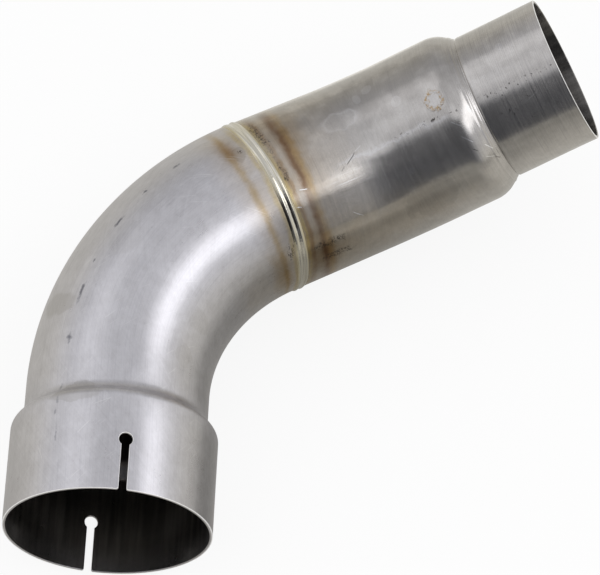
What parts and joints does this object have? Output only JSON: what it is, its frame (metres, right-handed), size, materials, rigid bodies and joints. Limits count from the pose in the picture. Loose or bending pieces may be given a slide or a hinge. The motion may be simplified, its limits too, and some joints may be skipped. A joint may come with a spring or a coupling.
{
  "type": "exhaust connection pipe",
  "caption": "Bent thin-walled exhaust connection pipe: a slotted clamp socket at one end, a weld ring, and a bent sleeve that narrows to a spigot at the other.",
  "frame": {"origin": "centre of the inlet socket's mouth", "axes": "-Y points out of the socket's mouth along its axis, the main bend turns towards +X, and +Z is square to the plane of that bend"},
  "size_m": [0.1908, 0.1871, 0.0812],
  "materials": {
    "satin_stainless": "satin, faintly brushed, with a brown and straw heat tint beside the weld",
    "weld_metal": "bright rippled weld bead with straw coloured toes"
  },
  "bodies": {
    "root": {"slotted_socket": "satin_stainless", "bent_tube": "satin_stainless", "weld_bead": "weld_metal", "outlet_sleeve": "satin_stainless"}
  },
  "joints": []
}
